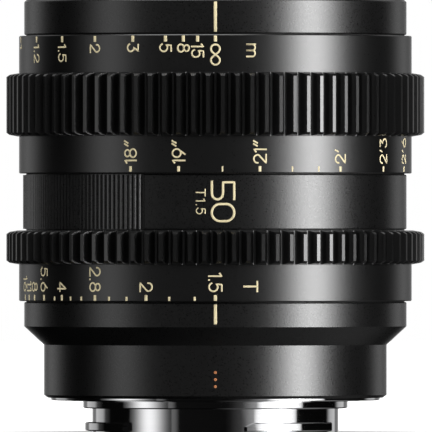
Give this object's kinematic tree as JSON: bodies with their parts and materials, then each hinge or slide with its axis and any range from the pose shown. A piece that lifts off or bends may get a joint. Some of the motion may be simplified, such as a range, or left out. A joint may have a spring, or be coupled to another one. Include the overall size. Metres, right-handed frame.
{
  "type": "cinema prime lens",
  "caption": "Fixed focal length cinema lens with geared focus and iris rings, ribbed grip, filter bore and a four-lug bayonet at the rear.",
  "frame": {"origin": "centre of the bayonet's seat plane, where the lens meets the camera", "axes": "+Z along the optical axis to the front of the lens; the index marks face -Y"},
  "size_m": [0.0728, 0.0728, 0.0758],
  "materials": {
    "black_anodised": "fine matt black anodising",
    "black_inner": "flat black anodising",
    "chrome": "polished chrome plate",
    "brass": "turned",
    "glass": "coated, polished",
    "blade_black": "thin blackened sheet",
    "nylon": "natural",
    "screw_steel": "blackened"
  },
  "bodies": {
    "barrel": {"mount_bayonet": "chrome", "mount_screws": "screw_steel", "mount_shim": "brass", "rear_baffle": "black_inner", "rear_housing": "black_anodised", "guide_barrel": "black_inner", "grip_barrel": "black_anodised", "front_ring": "black_anodised", "iris_glide_rear": "nylon", "iris_glide_front": "nylon", "focus_glide_rear": "nylon", "focus_glide_front": "nylon"},
    "focus": {"focus_ring": "black_anodised", "cam_sleeve": "brass", "focus_screws": "screw_steel"},
    "iris": {"iris_ring": "black_anodised", "iris_drive_pin": "screw_steel"},
    "carriage": {"carriage_barrel": "black_inner", "follower_rollers": "nylon", "follower_screws": "screw_steel", "front_cell": "black_inner", "front_retainer": "black_inner", "doublet_retainer": "black_inner", "rear_cell": "black_inner", "rear_cell_nut": "black_inner", "spacer_front": "black_inner", "spacer_rear": "black_inner", "rear_retainer": "black_inner", "diaphragm_base": "black_inner", "element_1": "glass", "element_2": "glass", "element_3": "glass", "element_4": "glass", "element_5": "glass", "element_6": "glass", "element_7": "glass"},
    "iris_cam": {"iris_cam_ring": "brass"},
    "blade_1": {"iris_blade_1": "blade_black"},
    "blade_2": {"iris_blade_2": "blade_black"},
    "blade_3": {"iris_blade_3": "blade_black"},
    "blade_4": {"iris_blade_4": "blade_black"},
    "blade_5": {"iris_blade_5": "blade_black"},
    "blade_6": {"iris_blade_6": "blade_black"},
    "blade_7": {"iris_blade_7": "blade_black"},
    "blade_8": {"iris_blade_8": "blade_black"},
    "blade_9": {"iris_blade_9": "blade_black"},
    "blade_10": {"iris_blade_10": "blade_black"}
  },
  "joints": [
    {"name": "focus_turn", "type": "hinge", "parent": "barrel", "child": "focus", "pos_m": [0, 0, 0.05155], "axis": [0, 0, 1], "range_deg": [0, 206]},
    {"name": "iris_turn", "type": "hinge", "parent": "barrel", "child": "iris", "pos_m": [0, 0, 0.0235], "axis": [0, 0, 1], "range_deg": [0, 75]},
    {"name": "carriage_slide", "type": "slide", "parent": "barrel", "child": "carriage", "axis": [0, 0, 1], "range_m": [0, 0.0072]},
    {"name": "cam_turn", "type": "hinge", "parent": "carriage", "child": "iris_cam", "pos_m": [0, 0, 0.0261], "axis": [0, 0, 1], "range_deg": [0, 75]},
    {"name": "blade_1_swing", "type": "hinge", "parent": "carriage", "child": "blade_1", "pos_m": [0.0205, 0, 0.0276], "axis": [0, 0, 1], "range_deg": [0, 37.5]},
    {"name": "blade_2_swing", "type": "hinge", "parent": "carriage", "child": "blade_2", "pos_m": [0.01658, 0.01205, 0.0276], "axis": [0, 0, 1], "range_deg": [0, 37.5]},
    {"name": "blade_3_swing", "type": "hinge", "parent": "carriage", "child": "blade_3", "pos_m": [0.00633, 0.0195, 0.0276], "axis": [0, 0, 1], "range_deg": [0, 37.5]},
    {"name": "blade_4_swing", "type": "hinge", "parent": "carriage", "child": "blade_4", "pos_m": [-0.00633, 0.0195, 0.0276], "axis": [0, 0, 1], "range_deg": [0, 37.5]},
    {"name": "blade_5_swing", "type": "hinge", "parent": "carriage", "child": "blade_5", "pos_m": [-0.01658, 0.01205, 0.0276], "axis": [0, 0, 1], "range_deg": [0, 37.5]},
    {"name": "blade_6_swing", "type": "hinge", "parent": "carriage", "child": "blade_6", "pos_m": [-0.0205, 0, 0.0276], "axis": [0, 0, 1], "range_deg": [0, 37.5]},
    {"name": "blade_7_swing", "type": "hinge", "parent": "carriage", "child": "blade_7", "pos_m": [-0.01658, -0.01205, 0.0276], "axis": [0, 0, 1], "range_deg": [0, 37.5]},
    {"name": "blade_8_swing", "type": "hinge", "parent": "carriage", "child": "blade_8", "pos_m": [-0.00633, -0.0195, 0.0276], "axis": [0, 0, 1], "range_deg": [0, 37.5]},
    {"name": "blade_9_swing", "type": "hinge", "parent": "carriage", "child": "blade_9", "pos_m": [0.00633, -0.0195, 0.0276], "axis": [0, 0, 1], "range_deg": [0, 37.5]},
    {"name": "blade_10_swing", "type": "hinge", "parent": "carriage", "child": "blade_10", "pos_m": [0.01658, -0.01205, 0.0276], "axis": [0, 0, 1], "range_deg": [0, 37.5]}
  ],
  "couplings": [
    {"joint": "carriage_slide", "follows": "focus_turn", "m_per_rad": 0.0020026},
    {"joint": "cam_turn", "follows": "iris_turn", "ratio": 1},
    {"joint": "blade_1_swing", "follows": "iris_turn", "ratio": 0.5},
    {"joint": "blade_2_swing", "follows": "iris_turn", "ratio": 0.5},
    {"joint": "blade_3_swing", "follows": "iris_turn", "ratio": 0.5},
    {"joint": "blade_4_swing", "follows": "iris_turn", "ratio": 0.5},
    {"joint": "blade_5_swing", "follows": "iris_turn", "ratio": 0.5},
    {"joint": "blade_6_swing", "follows": "iris_turn", "ratio": 0.5},
    {"joint": "blade_7_swing", "follows": "iris_turn", "ratio": 0.5},
    {"joint": "blade_8_swing", "follows": "iris_turn", "ratio": 0.5},
    {"joint": "blade_9_swing", "follows": "iris_turn", "ratio": 0.5},
    {"joint": "blade_10_swing", "follows": "iris_turn", "ratio": 0.5}
  ]
}
